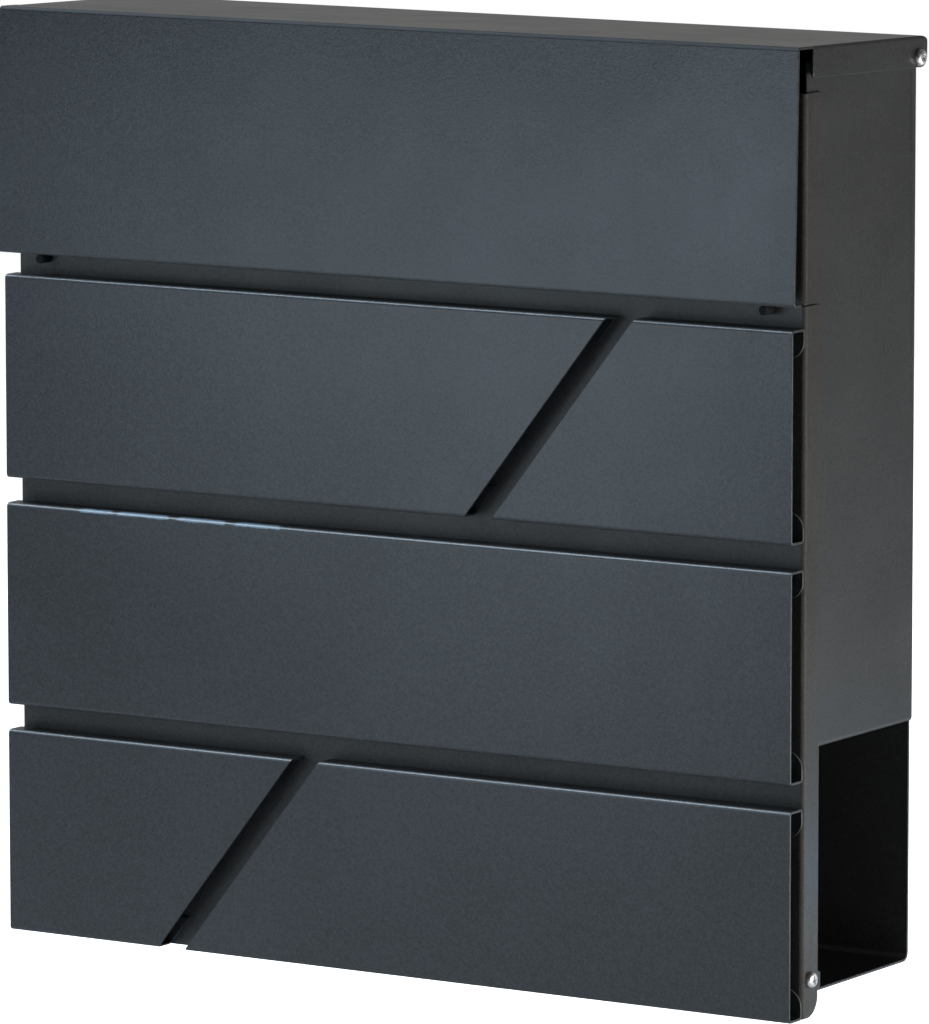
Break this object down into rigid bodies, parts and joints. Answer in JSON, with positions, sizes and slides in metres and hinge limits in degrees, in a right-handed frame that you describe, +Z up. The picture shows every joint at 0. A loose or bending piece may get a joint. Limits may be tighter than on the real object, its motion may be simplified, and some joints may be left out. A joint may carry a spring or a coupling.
{
  "type": "wall mounted mailbox",
  "caption": "Wall mounted mailbox of folded sheet steel with a lifting lid, a drop-down front door with decorative channels, a cam lock behind the flap and an open newspaper shelf below.",
  "frame": {"origin": "centre of the four wall screw holes, on the wall plane", "axes": "+Y into the wall, +Z up, +X to the right as seen from the front; the front faces -Y"},
  "size_m": [0.3786, 0.1071, 0.3806],
  "materials": {
    "powder_coat": "fine satin anthracite powder coat",
    "inner_coat": "matt near-black powder coat",
    "zinc": "bright zinc plate",
    "nickel": "satin nickel plate",
    "brass": "turned brass",
    "nylon": "natural nylon",
    "rubber": "moulded black rubber"
  },
  "bodies": {
    "casing": {"back_panel": "inner_coat", "casing_sides": "powder_coat", "top_plate": "inner_coat", "front_header": "powder_coat", "lid_screw_left": "zinc", "lid_screw_right": "zinc", "lid_washer_left": "nylon", "lid_washer_right": "nylon", "lid_nut_left": "zinc", "lid_nut_right": "zinc", "door_screw_left": "zinc", "door_screw_right": "zinc", "door_washer_left": "nylon", "door_washer_right": "nylon", "door_nut_left": "zinc", "door_nut_right": "zinc", "lock_barrel": "nickel", "lock_nut": "brass"},
    "lid": {"lid_panel": "powder_coat"},
    "door": {"door_panel": "powder_coat", "panel_upper_left": "powder_coat", "panel_upper_right": "powder_coat", "panel_middle": "powder_coat", "panel_lower_left": "powder_coat", "panel_lower_right": "powder_coat", "lock_keeper": "inner_coat", "bumper_left": "rubber", "bumper_right": "rubber"},
    "lock": {"lock_plug": "nickel", "lock_cam": "zinc", "cam_screw": "zinc"}
  },
  "joints": [
    {"name": "lid_hinge", "type": "hinge", "parent": "casing", "child": "lid", "pos_m": [0, -0.0104, 0.17], "axis": [-1, 0, 0], "range_deg": [0, 88]},
    {"name": "door_hinge", "type": "hinge", "parent": "casing", "child": "door", "pos_m": [0, -0.089, -0.185], "axis": [1, 0, 0], "range_deg": [0, 80]},
    {"name": "lock_turn", "type": "hinge", "parent": "casing", "child": "lock", "pos_m": [0, -0.088, 0.106], "axis": [0, 1, 0], "range_deg": [0, 90]}
  ]
}
